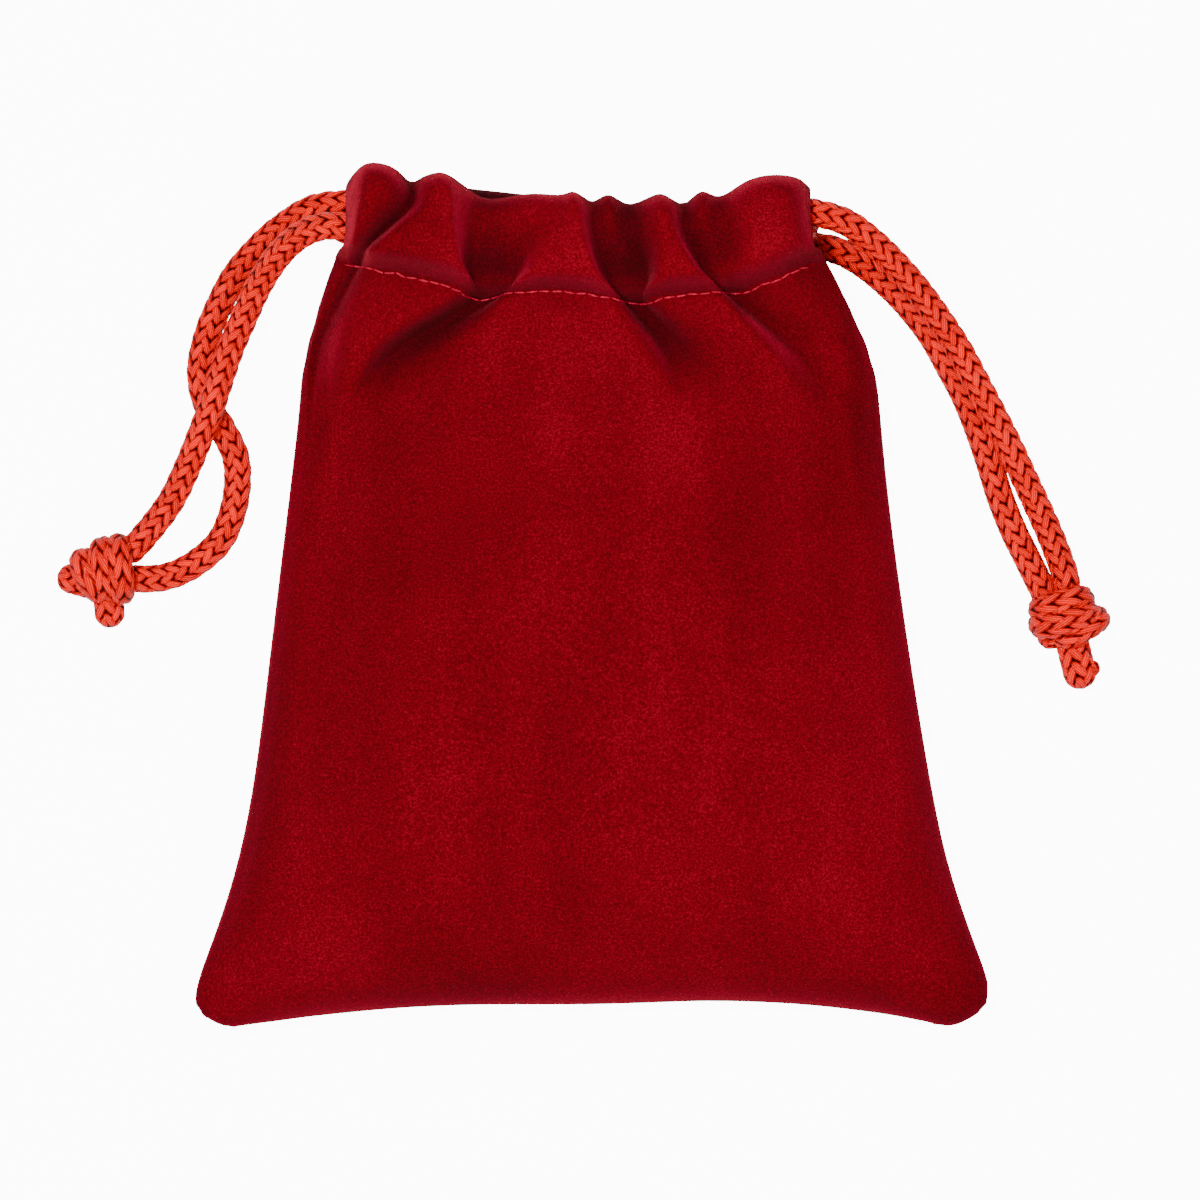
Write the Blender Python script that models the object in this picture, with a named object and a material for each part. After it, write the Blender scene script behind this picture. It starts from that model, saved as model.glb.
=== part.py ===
# A velvet drawstring pouch lying on its back: two panels, each with its heading folded over
# to a casing, and two knotted cords that run round through both casings, one pulled from each side.
# X runs across the pouch, Y up to its mouth, Z away from the surface that it lies on.

import math

import bmesh
import bpy
import numpy as np
from mathutils import Matrix, Vector

MM = 0.001

# The plan was drawn for a pouch of this size, and follows when the pouch is made another.
DRAWN_WIDTH = 142.4 * MM
DRAWN_LENGTH = 154.0 * MM
POUCH_WIDTH = 142.4 * MM
POUCH_LENGTH = 154.0 * MM

# Cloth and seams
CLOTH = 1.2 * MM
PIECE_GAP = 0.3 * MM
SEAM_ALLOWANCE = 5.0 * MM
SEAM_HEIGHT = 8.0 * MM
SEAM_RISE = 4.0 * MM
THREAD = 0.4 * MM
THREAD_LIFT = 0.6 * MM
GROOVE_DEPTH = 0.9 * MM
GROOVE_ROWS = 0.07

# Cords and the casings that hold them
CORD = 5.0 * MM
CORD_CLEARANCE = 0.4 * MM
MOUTH_GAP = 6.5 * MM
FOLD_REACH = 5.0 * MM
FOLD_DEPTH = 1.3
FAN_DEPTH = 1.6
CASING_HOLD = 1.5
CORDS_SHARE = 0.64
BACK_STITCH_RISE = 2.0 * MM
HEM_WAVE = 0.7 * MM
HEM_LAY = 0.55
BACK_FOLD = 3.0 * MM
HEM_LEFT = -32.0
HEM_RIGHT = 28.5

# The stuffed body
CROWN = 20.5 * MM
FRONT_EDGE = 27.0 * MM
BACK_EDGE = 13.0 * MM
BODY_TOP = 31.5
EDGE_ROUND = 0.62
FAN_LEVEL = 44.0

# Knots
CORE_INSET = 1.4 * MM
CORE_EXTRA = 0.3 * MM
CORD_STEP = 1.15

# Heights that follow from the cloth and the cord, from the surface upwards
CORD_RADIUS = CORD / 2
CASING_DEPTH = 2 * CLOTH + CORD + 2 * CORD_CLEARANCE
BACK_MOUTH = BACK_FOLD + CASING_DEPTH
FRONT_MOUTH = BACK_MOUTH + MOUTH_GAP
BACK_CORD = BACK_MOUTH - CASING_DEPTH / 2
FRONT_CORD = FRONT_MOUTH + CASING_DEPTH / 2
CORD_ON_FLOOR = CORD_RADIUS + 0.1 * MM

# The outline of the seams, drawn in millimetres, from the side openings down to the corners.
SEAM_LEFT = [
    (-46.0, 60.0), (-47.4, 57.1), (-50.4, 48.5), (-52.2, 35.1), (-54.4, 17.2), (-57.6, -9.0),
    (-60.5, -31.9), (-63.0, -45.3), (-65.5, -54.2), (-68.7, -63.1), (-71.1, -69.6),
    (-71.0, -72.6), (-69.4, -75.1),
]
SEAM_RIGHT = [
    (41.7, 59.4), (43.9, 55.8), (48.0, 48.3), (51.2, 35.1), (53.1, 17.2), (56.7, -9.0),
    (60.5, -31.9), (63.1, -45.3), (65.6, -54.2), (69.0, -62.6), (71.1, -69.4),
    (70.6, -72.4), (68.6, -74.6),
]
SEAM_BOTTOM = [
    (-69.4, -75.1), (-64.9, -77.0), (-59.0, -76.4), (-45.6, -74.7), (-26.0, -73.2), (0.0, -73.0),
    (21.0, -72.4), (37.0, -73.0), (51.3, -74.6), (58.5, -76.0), (64.0, -76.8), (68.6, -74.6),
]

# Routes of the cords, drawn in millimetres with the height in the last place. Each cord leaves its
# knot, enters the back casing, turns at the far side opening and comes back through the front one.
LEFT_ROUTE = [
    (-80.6, 3.1, 4.5), (-76.0, 3.6, 3.0), (-71.3, 5.8, CORD_ON_FLOOR / MM),
    (-66.9, 9.7, CORD_ON_FLOOR / MM),
    (-64.6, 14.6, CORD_ON_FLOOR / MM), (-63.6, 20.0, CORD_ON_FLOOR / MM), (-64.0, 25.3, CORD_ON_FLOOR / MM),
    (-66.6, 30.6, CORD_ON_FLOOR / MM), (-69.3, 35.0, CORD_ON_FLOOR / MM), (-70.2, 40.6, CORD_ON_FLOOR / MM),
    (-69.0, 46.7, CORD_ON_FLOOR / MM), (-66.7, 52.4, CORD_ON_FLOOR / MM), (-63.9, 57.6, CORD_ON_FLOOR / MM),
    (-60.0, 62.2, 3.0), (-56.0, 65.8, 3.9), (-50.3, 69.3, 5.7), (-44.2, 70.2, 7.1),
    (-38.0, 69.6, BACK_CORD / MM),
    (-30.0, 68.7, BACK_CORD / MM), (-15.0, 66.1, BACK_CORD / MM), (0.0, 65.1, BACK_CORD / MM),
    (15.0, 65.6, BACK_CORD / MM), (25.0, 67.3, BACK_CORD / MM), (31.5, 68.9, BACK_CORD / MM + 0.5),
    (36.2, 68.2, BACK_CORD / MM + 3.3), (37.9, 66.1, (BACK_CORD + FRONT_CORD) / 2 / MM),
    (36.2, 63.9, FRONT_CORD / MM - 3.3), (31.5, 62.9, FRONT_CORD / MM - 0.5),
    (25.0, 61.2, FRONT_CORD / MM), (14.0, 59.7, FRONT_CORD / MM), (0.0, 59.8, FRONT_CORD / MM),
    (-15.0, 60.3, FRONT_CORD / MM), (-28.0, 62.3, FRONT_CORD / MM), (-37.0, 63.7, FRONT_CORD / MM),
    (-42.0, 64.5, 21.2), (-46.0, 65.9, 20.2), (-50.2, 65.2, 18.1), (-54.0, 62.8, 15.4), (-57.2, 59.2, 12.9),
    (-60.0, 54.6, 10.7), (-62.3, 49.6, 9.2), (-64.5, 44.6, 8.4), (-66.3, 39.4, 8.1), (-68.0, 34.2, 8.1),
    (-70.2, 28.5, 7.4), (-72.6, 22.8, 5.7), (-75.8, 16.5, 4.4), (-81.2, 9.6, 5.5),
]
RIGHT_ROUTE = [
    (80.7, 1.1, 4.3), (77.6, 7.4, 2.9), (75.3, 12.1, CORD_ON_FLOOR / MM),
    (73.0, 17.9, CORD_ON_FLOOR / MM),
    (71.2, 23.7, CORD_ON_FLOOR / MM), (69.2, 29.6, CORD_ON_FLOOR / MM), (66.7, 35.8, CORD_ON_FLOOR / MM),
    (64.0, 40.9, CORD_ON_FLOOR / MM), (61.0, 46.3, CORD_ON_FLOOR / MM), (57.6, 50.9, 2.7), (53.6, 55.2, 3.3),
    (48.8, 59.2, 4.6), (44.0, 61.8, 6.0), (39.0, 62.7, 6.9), (31.0, 63.0, BACK_CORD / MM),
    (15.0, 60.1, BACK_CORD / MM), (0.0, 59.5, BACK_CORD / MM), (-15.0, 60.2, BACK_CORD / MM),
    (-28.0, 62.2, BACK_CORD / MM), (-35.5, 63.3, BACK_CORD / MM + 0.5), (-40.0, 64.3, BACK_CORD / MM + 3.3),
    (-41.7, 66.6, (BACK_CORD + FRONT_CORD) / 2 / MM), (-40.0, 68.9, FRONT_CORD / MM - 3.3),
    (-35.5, 69.5, FRONT_CORD / MM - 0.5), (-28.0, 68.2, FRONT_CORD / MM), (-15.0, 66.0, FRONT_CORD / MM),
    (0.0, 65.5, FRONT_CORD / MM), (13.0, 65.3, FRONT_CORD / MM), (20.0, 65.9, FRONT_CORD / MM),
    (26.0, 67.6, FRONT_CORD / MM), (32.5, 68.7, FRONT_CORD / MM), (39.0, 68.3, 20.9),
    (44.9, 66.7, 19.3), (49.6, 63.5, 16.8),
    (54.0, 59.4, 13.9), (58.0, 54.9, 11.3), (61.8, 49.8, 9.3), (65.5, 44.2, 8.1), (68.6, 38.5, 7.5),
    (71.7, 32.6, 7.1), (74.6, 26.9, 6.5), (77.4, 21.0, 5.2), (80.1, 15.3, 4.0), (82.3, 10.2, 4.6),
    (84.6, 3.6, 6.7),
]
# Knots: turns of the cord, each as its middle, its radius and the direction that it turns about in
# degrees, then the cord ends that stick out, each as a start, an end and a thickness against the
# cord's. Drawn in millimetres.
LEFT_KNOT = {
    "turns": [(-84.4, 4.8, 4.1, 6), (-87.2, 4.9, 3.5, 13), (-90.1, 3.6, 2.8, 33)],
    "tails": [((-90.0, 2.3, 3.1), (-93.2, 3.2, 3.1), 1.1), ((-86.9, 1.0, 4.0), (-86.5, -2.9, 3.1), 1.1)],
}
RIGHT_KNOT = {
    "turns": [(83.8, -1.2, 3.7, 108), (84.3, -4.4, 4.1, 106), (87.9, -5.6, 2.8, 124)],
    "tails": [((85.8, -8.0, 3.5), (87.2, -13.6, 3.4), 1.22), ((82.8, -6.0, 4.0), (82.0, -7.0, 3.6), 1.0),
              ((88.0, -12.4, 3.4), (89.4, -12.9, 3.4), 0.62)],
}

# Each line of a fold across a panel, from left to right, in millimetres:
# place and height at the heading, at the cords, at the stitches and where the fold fans out,
# then its share of the width of the plain body. Heights are measured outwards.
# name, heading (x, y, height), cords (x, height), stitches (x, y, height), fan (x, height), share
FRONT_FOLDS = [
    ("left edge", (-44.0, 73.0, -0.6), (-44.2, -0.6), (-46.0, 60.0, -0.5), (-51.1, 0.0), 0.0),
    ("left hump", (-40.4, 76.9, 5.0), (-42.1, 4.6), (-43.9, 59.5, 2.2), (-50.3, 0.3), 0.01),
    ("left hump, right side", (-35.2, 76.2, 4.4), (-40.6, 3.2), (-42.5, 59.1, 1.4), (-49.6, -0.2), 0.02),
    ("first valley", (-32.3, 73.7, 1.2), (-39.4, 0.6), (-41.3, 58.8, 0.0), (-48.9, -0.9), 0.03),
    ("second fold, soft side", (-30.0, 74.6, 3.6), (-38.0, 4.4), (-39.7, 58.3, 4.2), (-46.4, 0.8), 0.045),
    ("second fold, top", (-27.2, 75.3, 4.6), (-30.8, 5.1), (-32.0, 56.9, 5.6), (-43.0, 2.3), 0.062),
    ("second fold, rim", (-24.9, 74.5, 4.6), (-23.7, 5.8), (-23.0, 54.6, 5.4), (-38.8, 2.0), 0.08),
    ("second fold, foot", (-22.3, 72.7, 1.6), (-22.2, 0.5), (-21.2, 53.1, 0.3), (-36.2, -0.9), 0.094),
    ("wide valley", (-18.4, 70.6, 0.3), (-18.4, -0.2), (-19.2, 52.6, 0.0), (-33.6, -2.1), 0.11),
    ("inner ridge", (-11.4, 71.6, 2.0), (-12.9, 0.9), (-17.0, 52.9, 0.6), (-30.2, -1.4), 0.135),
    ("third fold, soft side", (-6.2, 71.3, 3.4), (-10.2, 4.5), (-14.9, 54.0, 4.4), (-22.6, 1.5), 0.2),
    ("third fold, top", (-3.5, 71.9, 4.4), (-4.6, 5.0), (-5.5, 54.4, 5.6), (-7.8, 2.6), 0.42),
    ("third fold, rim", (-1.6, 71.0, 4.0), (0.8, 5.2), (4.2, 53.0, 5.2), (8.0, 2.4), 0.61),
    ("third fold, foot", (0.2, 70.2, 1.0), (2.3, 0.3), (5.9, 52.2, 0.3), (12.2, -0.9), 0.655),
    ("small hump", (3.0, 71.5, 1.9), (5.8, 0.1), (7.6, 51.9, 0.0), (14.8, -1.8), 0.685),
    ("fourth fold, foot", (6.6, 69.6, 0.6), (10.0, 0.1), (9.3, 52.2, 0.2), (17.0, -1.3), 0.71),
    ("fourth fold, crest", (11.4, 71.5, 3.8), (11.8, 4.0), (11.0, 53.2, 3.8), (21.6, 0.7), 0.76),
    ("fourth fold, rim", (14.5, 70.4, 3.8), (18.3, 4.9), (22.2, 54.2, 4.8), (30.6, 2.4), 0.885),
    ("fourth valley", (16.4, 69.8, 0.8), (19.8, 0.2), (23.9, 53.6, 0.1), (34.6, -0.8), 0.915),
    ("side hump", (19.4, 72.1, 2.6), (21.9, 0.8), (25.3, 53.9, 0.2), (37.0, -1.5), 0.932),
    ("right hump, foot", (22.7, 71.0, 1.4), (24.7, 0.8), (26.7, 54.4, 0.5), (39.2, -1.3), 0.945),
    ("right hump, left side", (27.2, 73.8, 4.0), (27.6, 3.2), (29.0, 55.3, 2.6), (41.6, -0.8), 0.957),
    ("right hump", (32.0, 74.9, 5.4), (32.2, 5.0), (34.2, 57.2, 3.8), (45.4, 0.2), 0.972),
    ("right hump, right side", (36.6, 74.3, 3.8), (37.3, 3.2), (38.6, 59.0, 1.2), (48.0, 0.1), 0.986),
    ("right edge", (38.9, 72.4, -0.6), (39.6, -0.6), (41.7, 59.4, -0.5), (49.9, 0.0), 1.0),
]
BACK_FOLDS = [
    ("left edge", (-43.4, 74.4, 0.0), (-44.0, 0.0), (-46.0, 60.0, -0.5), (-51.1, 0.0), 0.0),
    ("first ridge", (-38.0, 75.0, 3.0), (-38.0, 3.0), (-41.5, 58.0, 0.3), (-47.0, 0.0), 0.045),
    ("first valley", (-30.0, 74.0, 0.3), (-30.0, 0.2), (-33.0, 56.2, 0.0), (-37.5, -0.8), 0.13),
    ("second ridge", (-22.0, 73.0, 2.8), (-22.0, 3.0), (-24.0, 54.6, 0.5), (-27.0, 0.0), 0.23),
    ("second valley", (-13.0, 72.0, 0.2), (-13.5, 0.2), (-14.5, 53.6, 0.0), (-16.0, -0.8), 0.34),
    ("third ridge", (-4.0, 70.9, 2.9), (-4.5, 3.0), (-4.5, 53.3, 0.5), (-5.0, 0.0), 0.45),
    ("third valley", (6.0, 69.8, 0.3), (5.5, 0.2), (6.0, 53.4, 0.0), (7.0, -0.8), 0.56),
    ("fourth ridge", (15.0, 70.3, 2.8), (15.0, 3.0), (15.5, 54.2, 0.5), (18.0, 0.0), 0.67),
    ("fourth valley", (24.0, 71.9, 0.4), (24.0, 0.2), (25.5, 55.6, 0.0), (28.5, -0.8), 0.79),
    ("fifth ridge", (33.0, 74.3, 3.0), (33.5, 3.0), (36.5, 57.6, 0.3), (41.5, 0.0), 0.92),
    ("right edge", (38.4, 73.0, 0.0), (39.4, 0.0), (41.7, 59.4, -0.5), (49.9, 0.0), 1.0),
]
# Rows of the cloth: 0 heading, 1 cords, 2 stitches, 3 fan, 4 top of the plain body.
FOLD_ANGLES = (0.0, 32.0, 62.0)
FRONT_ROWS = (0.0, 0.5, 1.0, 1.4, 1.75, 1.92, 2.0, 2.1, 2.35, 2.7, 3.0, 3.5, 4.0)
BACK_ROWS = (0.0, 0.5, 1.0, 1.5, 1.88, 2.0, 2.12, 2.35, 2.7, 3.0, 3.5, 4.0)
FRONT_BODY_ROWS = (0.12, 0.26, 0.42, 0.58, 0.72, 0.84, 0.92, 0.965, 0.99, 1.0)
BACK_BODY_ROWS = (0.26, 0.58, 0.84, 0.92, 0.965, 1.0)
HEM_ROWS = (0.0, 0.4, 0.78, 0.92)
STITCH_ROW = 2.0
SEAM_ROW = 2.7
FRONT_COLUMN = 3.4
BACK_COLUMN = 4.6

# How closely curves are read and how a surface is shaded
CURVE_STEPS = 40
CREASE_ANGLE = 50
WRAP_STEPS = 18
WRAP_SIDES = 8

VELVET_RED = (0.30, 0.003, 0.010, 1.0)
THREAD_RED = (0.52, 0.03, 0.06, 1.0)
CORD_ORANGE = (0.66, 0.045, 0.008, 1.0)


def plan(x, y):
    """A place in the drawing, at the size that the pouch is made to."""
    return x * MM * POUCH_WIDTH / DRAWN_WIDTH, y * MM * POUCH_LENGTH / DRAWN_LENGTH


def smooth(points, places):
    """Points on a smooth curve through the given ones, at places counted in points."""
    points = np.asarray(points, float)
    padded = np.vstack([2 * points[0] - points[1], points, 2 * points[-1] - points[-2]])
    found = []
    for place in places:
        start = min(int(place), len(points) - 2)
        t = place - start
        a, b, c, d = padded[start:start + 4]
        found.append(0.5 * (2 * b + (c - a) * t + (2 * a - 5 * b + 4 * c - d) * t ** 2
                            + (3 * b - a - 3 * c + d) * t ** 3))
    return np.array(found)


def evenly(points, shares):
    """Points at shares of the length of a curve."""
    fine = smooth(points, np.linspace(0, len(points) - 1, CURVE_STEPS * len(points)))
    steps = np.linalg.norm(np.diff(fine, axis=0), axis=1)
    run = np.concatenate([[0.0], np.cumsum(steps)]) / steps.sum()
    return np.stack([np.interp(shares, run, fine[:, k]) for k in range(fine.shape[1])], axis=1)


def seam_curve(drawn):
    return np.array([plan(x, y) for x, y in drawn])


def seam_below(drawn, shares):
    """The part of a side seam below the folds, at shares of its length."""
    fine = smooth(seam_curve(drawn), np.linspace(0, len(drawn) - 1, CURVE_STEPS * len(drawn)))
    start = int(np.argmin(abs(fine[:, 1] - plan(0, BODY_TOP)[1])))
    return evenly(fine[start:], shares)


def seam_height(y):
    """The side seam lies low on the body and rises to the side openings."""
    low, high = plan(0, BODY_TOP)[1], plan(0, SEAM_LEFT[1][1])[1]
    share = np.clip((y - low) / (high - low), 0, 1)
    return SEAM_HEIGHT + SEAM_RISE * share * share * (3 - 2 * share)


def rounded(distance, edge):
    """Height of a stuffed edge, from 0 on the seam to 1 at its inner end."""
    share = np.clip(distance / edge, 0, 1)
    return (1 - (1 - share) ** 2) ** EDGE_ROUND


class Panel:
    """One piece of cloth, as rows of points on its outer face. Heights run outwards from the mouth."""

    def __init__(self, folds, fold_scale, groove, mouth, side, stitch, crown, edge, rows, body_rows, column):
        self.mouth, self.side, self.crown, self.edge, self.folds = mouth, side, crown, edge, folds
        self.columns = self.fold_columns(column)
        heading = self.across([plan(f[1][0], f[1][1]) + (f[1][2] * fold_scale * MM,) for f in folds])
        cords = self.across([plan(f[2][0], 0) + (f[2][1] * fold_scale * MM,) for f in folds])
        stitches = self.across([plan(f[3][0], f[3][1]) + (f[3][2] * MM,) for f in folds])
        fan = self.across([plan(f[4][0], FAN_LEVEL) + (f[4][1] * FAN_DEPTH * MM,) for f in folds])
        self.shares = np.clip(self.across([(f[5],) for f in folds])[:, 0], 0, 1)
        heading[:, 2] += CASING_DEPTH
        cords[:, 2] += CASING_DEPTH
        stitches[:, 2] += stitch
        apex = heading.copy()
        apex[:, 2] = (heading[:, 2]) / 2
        heading[:, 1] -= FOLD_REACH
        cords[:, 1] = heading[:, 1] + CORDS_SHARE * (stitches[:, 1] - heading[:, 1])
        fan[0, :2], fan[-1, :2] = self.on_seams(fan[0, 1])
        fan_shares = (fan[:, 0] - fan[0, 0]) / (fan[-1, 0] - fan[0, 0])
        fan[:, 2] += self.stuffed(fan, fan_shares, np.zeros(len(fan)))
        levels = [heading, cords, stitches, fan, self.body_row(0.0), self.body_row(0.12)]
        self.points = []
        for angle in reversed(FOLD_ANGLES[1:]):
            self.points.append(self.turned(heading, apex, math.radians(angle)))
        for row in rows:
            held = 1 + (row - 1) ** CASING_HOLD if 1 < row < 2 else row
            points = np.array([smooth([level[i] for level in levels], [row])[0]
                               for i in range(len(self.columns))])
            points[:, 2] = [smooth([level[i] for level in levels], [held])[0, 2]
                            for i in range(len(self.columns))]
            points[:, 2] -= groove * math.exp(-((row - STITCH_ROW) / GROOVE_ROWS) ** 2)
            self.points.append(points)
        self.stitch_row = len(FOLD_ANGLES) - 1 + int(np.argmin(abs(np.array(rows) - STITCH_ROW)))
        self.seam_row = len(FOLD_ANGLES) - 1 + min(k for k, row in enumerate(rows) if row >= SEAM_ROW)
        for row in body_rows:
            self.points.append(self.body_row(row))
        self.points = np.array([apex] + self.points)
        self.stitch_row += 1
        self.seam_row += 1
        self.settle()

    def fold_columns(self, column):
        """Places across the folds, so that a wide fold has more columns than a narrow one."""
        places = [0.0]
        for k in range(len(self.folds) - 1):
            width = max(abs(self.folds[k + 1][n][0] - self.folds[k][n][0]) for n in (1, 2, 3))
            count = max(2, round(width / column))
            places += [k + (n + 1) / count for n in range(count)]
        return places

    def across(self, values):
        return smooth(values, self.columns)

    def on_seams(self, y):
        places = np.linspace(0, len(SEAM_LEFT) - 1, CURVE_STEPS * len(SEAM_LEFT))
        left = smooth(seam_curve(SEAM_LEFT), places)
        right = smooth(seam_curve(SEAM_RIGHT), places)
        return ((np.interp(-y, -left[:, 1], left[:, 0]), y), (np.interp(-y, -right[:, 1], right[:, 0]), y))

    def stuffed(self, points, shares, down):
        """Height of the stuffed body over its seams."""
        seam = self.side * (seam_height(points[:, 1]) + self.side * PIECE_GAP / 2 - self.mouth)
        width = points[-1, 0] - points[0, 0]
        length = POUCH_LENGTH * (0.5 + BODY_TOP * MM / DRAWN_LENGTH)
        lift = rounded(shares * width, self.edge) * rounded((1 - shares) * width, self.edge)
        lift = lift * rounded((1 - down) * length, self.edge)
        return seam + (self.crown - seam) * lift

    def body_row(self, down):
        """A row of the plain body, at a share of the way down to the bottom seam."""
        left = seam_below(SEAM_LEFT, [down])[0]
        right = seam_below(SEAM_RIGHT, [down])[0]
        bottom = evenly(seam_curve(SEAM_BOTTOM), self.shares)
        share = self.shares[:, None]
        bow = bottom - (bottom[0] * (1 - share) + bottom[-1] * share)
        flat = left * (1 - share) + right * share + down ** 2 * bow
        points = np.column_stack([flat, np.zeros(len(flat))])
        points[:, 2] = self.stuffed(points, self.shares, np.full(len(flat), down))
        return points

    def turned(self, heading, apex, angle):
        """A row on the round of the folded heading."""
        points = heading.copy()
        points[:, 1] += (apex[:, 1] - heading[:, 1]) * math.sin(angle)
        points[:, 2] = apex[:, 2] + (heading[:, 2] - apex[:, 2]) * math.cos(angle)
        return points

    def settle(self):
        """Keeps the side edges off the other panel, and the back on the surface."""
        for row in self.points:
            seam = self.side * (seam_height(row[:, 1]) + self.side * PIECE_GAP / 2 - self.mouth)
            row[:, 2] = np.maximum(row[:, 2], seam)
            if self.side < 0:
                row[:, 2] = np.minimum(row[:, 2], self.mouth)
        for row in self.points[self.seam_row:]:
            for end in (0, -1):
                seam = seam_height(row[end, 1]) + self.side * PIECE_GAP / 2
                row[end, 2] = self.side * (seam - self.mouth)

    def hem(self):
        """Rows of the face that looks into the mouth, from the heading to above the stitches."""
        heading, apex = self.points[len(FOLD_ANGLES)], self.points[0]
        stitches = self.points[self.stitch_row]
        ridge = np.clip(heading[:, 2] - CASING_DEPTH, 0, None)
        wave = HEM_WAVE * ridge / ridge.max()
        rows = []
        for angle in FOLD_ANGLES[1:]:
            row = self.turned(heading, apex, math.radians(angle))
            row[:, 2] = apex[:, 2] - (row[:, 2] - apex[:, 2])
            rows.append(row)
        rows.reverse()
        for share in HEM_ROWS:
            row = heading * (1 - share) + stitches * share
            row[:, 2] = -wave
            if share == HEM_ROWS[-1]:
                row[:, 2] = HEM_LAY * (stitches[:, 2] - 2 * CLOTH)
            rows.append(row)
        return np.array(rows)

    def placed(self, points):
        """Heights from the mouth turned into heights from the surface."""
        moved = np.array(points)
        moved[..., 2] = self.mouth + self.side * moved[..., 2]
        return moved


def normals(rows):
    """Unit normals of a grid of points, on the side that its rows and columns turn to."""
    down = np.gradient(rows, axis=0)
    over = np.gradient(rows, axis=1)
    found = np.cross(down, over)
    return found / np.linalg.norm(found, axis=2, keepdims=True)


def material(name, colour, roughness):
    made = bpy.data.materials.new(name)
    made.use_nodes = True
    shader = made.node_tree.nodes["Principled BSDF"]
    shader.inputs["Base Color"].default_value = colour
    shader.inputs["Roughness"].default_value = roughness
    shader.inputs["Metallic"].default_value = 0.0
    return made


def keep(name, mesh, made_of):
    thing = bpy.data.objects.new(name, mesh)
    bpy.context.scene.collection.objects.link(thing)
    thing.data.materials.append(made_of)
    return thing


def block_skin(points, blocks):
    """The outer faces of a set of blocks that share corners, as one closed mesh."""
    sides = ((0, 1, 2, 3), (4, 5, 6, 7), (0, 1, 5, 4), (1, 2, 6, 5), (2, 3, 7, 6), (3, 0, 4, 7))
    seen = {}
    for block in blocks:
        for side in sides:
            corners = tuple(block[k] for k in side)
            key = tuple(sorted(set(corners)))
            seen.setdefault(key, []).append(corners)
    shell = bmesh.new()
    verts = {}
    for key, faces in seen.items():
        if len(faces) > 1 or len(key) < 3:
            continue
        ring = [c for n, c in enumerate(faces[0]) if c != faces[0][n - 1]]
        for corner in ring:
            if corner not in verts:
                verts[corner] = shell.verts.new(points[corner])
        shell.faces.new([verts[corner] for corner in ring])
    bmesh.ops.recalc_face_normals(shell, faces=shell.faces)
    if shell.calc_volume(signed=True) < 0:
        bmesh.ops.reverse_faces(shell, faces=shell.faces)
    return shell


def make_panel(name, panel, cloth):
    """Cloth between two faces: the wall, the hem folded over inside it and the seam allowance."""
    wall = panel.points
    hem = panel.hem()
    rows, columns = wall.shape[:2]
    outward = normals(wall)
    inner = wall - CLOTH * outward
    corners = seam_path(panel)
    for row in range(panel.seam_row, rows):
        seam = panel.side * (seam_height(wall[row, :, 1]) + panel.side * PIECE_GAP / 2 - panel.mouth)
        inner[row, :, 2] = np.maximum(inner[row, :, 2], seam + CLOTH)
    for (row, column), (across, along) in corners.items():
        inner[row, column] = wall[row, column] + (-across * CLOTH, -along * CLOTH, CLOTH)
    left, right = plan(HEM_LEFT, 0)[0], plan(HEM_RIGHT, 0)[0]
    inside = [k for k in range(columns) if left <= wall[0, k, 0] <= right]
    hem_grid = np.concatenate([wall[:1], hem, inner[panel.stitch_row:panel.stitch_row + 1]])
    hem_faces = hem + CLOTH * normals(hem_grid)[1:-1]

    points = {}
    for row in range(rows):
        for column in range(columns):
            points["outer", row, column] = wall[row, column]
            points["inner", row, column] = inner[row, column]
    for row in range(len(hem)):
        for column in inside:
            points["hem mouth", row, column] = hem[row, column]
            points["hem cord", row, column] = hem_faces[row, column]
    for (row, column), (across, along) in corners.items():
        turned_in = wall[row, column] - np.array((across, along, 0)) * SEAM_ALLOWANCE
        points["flange outer", row, column] = turned_in
        points["flange inner", row, column] = turned_in + (0, 0, CLOTH)

    blocks = []
    for row in range(rows - 1):
        for column in range(columns - 1):
            ring = [(row, column), (row, column + 1), (row + 1, column + 1), (row + 1, column)]
            blocks.append([("outer",) + c for c in ring] + [("inner",) + c for c in ring])
    for first, second in zip(inside, inside[1:]):
        mouth_side = [("outer", 0)] + [("hem mouth", k) for k in range(len(hem))]
        cord_side = [("inner", 0)] + [("hem cord", k) for k in range(len(hem))]
        mouth_side.append(("inner", panel.stitch_row + 1))
        cord_side.append(("inner", panel.stitch_row))
        for k in range(len(mouth_side) - 1):
            near, far = mouth_side[k], mouth_side[k + 1]
            near_in, far_in = cord_side[k], cord_side[k + 1]
            blocks.append([near + (first,), near + (second,), far + (second,), far + (first,),
                           near_in + (first,), near_in + (second,), far_in + (second,), far_in + (first,)])
    path = list(corners)
    for here, there in zip(path, path[1:]):
        blocks.append([("outer",) + here, ("outer",) + there, ("flange outer",) + there,
                       ("flange outer",) + here, ("inner",) + here, ("inner",) + there,
                       ("flange inner",) + there, ("flange inner",) + here])
    placed = {key: panel.placed(point) for key, point in points.items()}
    shell = block_skin(placed, blocks)
    bmesh.ops.triangulate(shell, faces=shell.faces)
    mesh = bpy.data.meshes.new(name)
    shell.to_mesh(mesh)
    shell.free()
    mesh.shade_smooth()
    mesh.set_sharp_from_angle(angle=math.radians(CREASE_ANGLE))
    return keep(name, mesh, cloth)


def seam_path(panel):
    """Grid places along the seam, from the left opening round the bottom to the right one."""
    rows, columns = panel.points.shape[:2]
    path = [(row, 0) for row in range(panel.seam_row, rows)]
    path += [(rows - 1, column) for column in range(1, columns - 1)]
    path += [(row, columns - 1) for row in range(rows - 1, panel.seam_row - 1, -1)]
    places = np.array([panel.points[row, column, :2] for row, column in path])
    along = np.gradient(places, axis=0)
    along /= np.linalg.norm(along, axis=1, keepdims=True)
    return {place: (tangent[1], -tangent[0]) for place, tangent in zip(path, along)}


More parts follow.
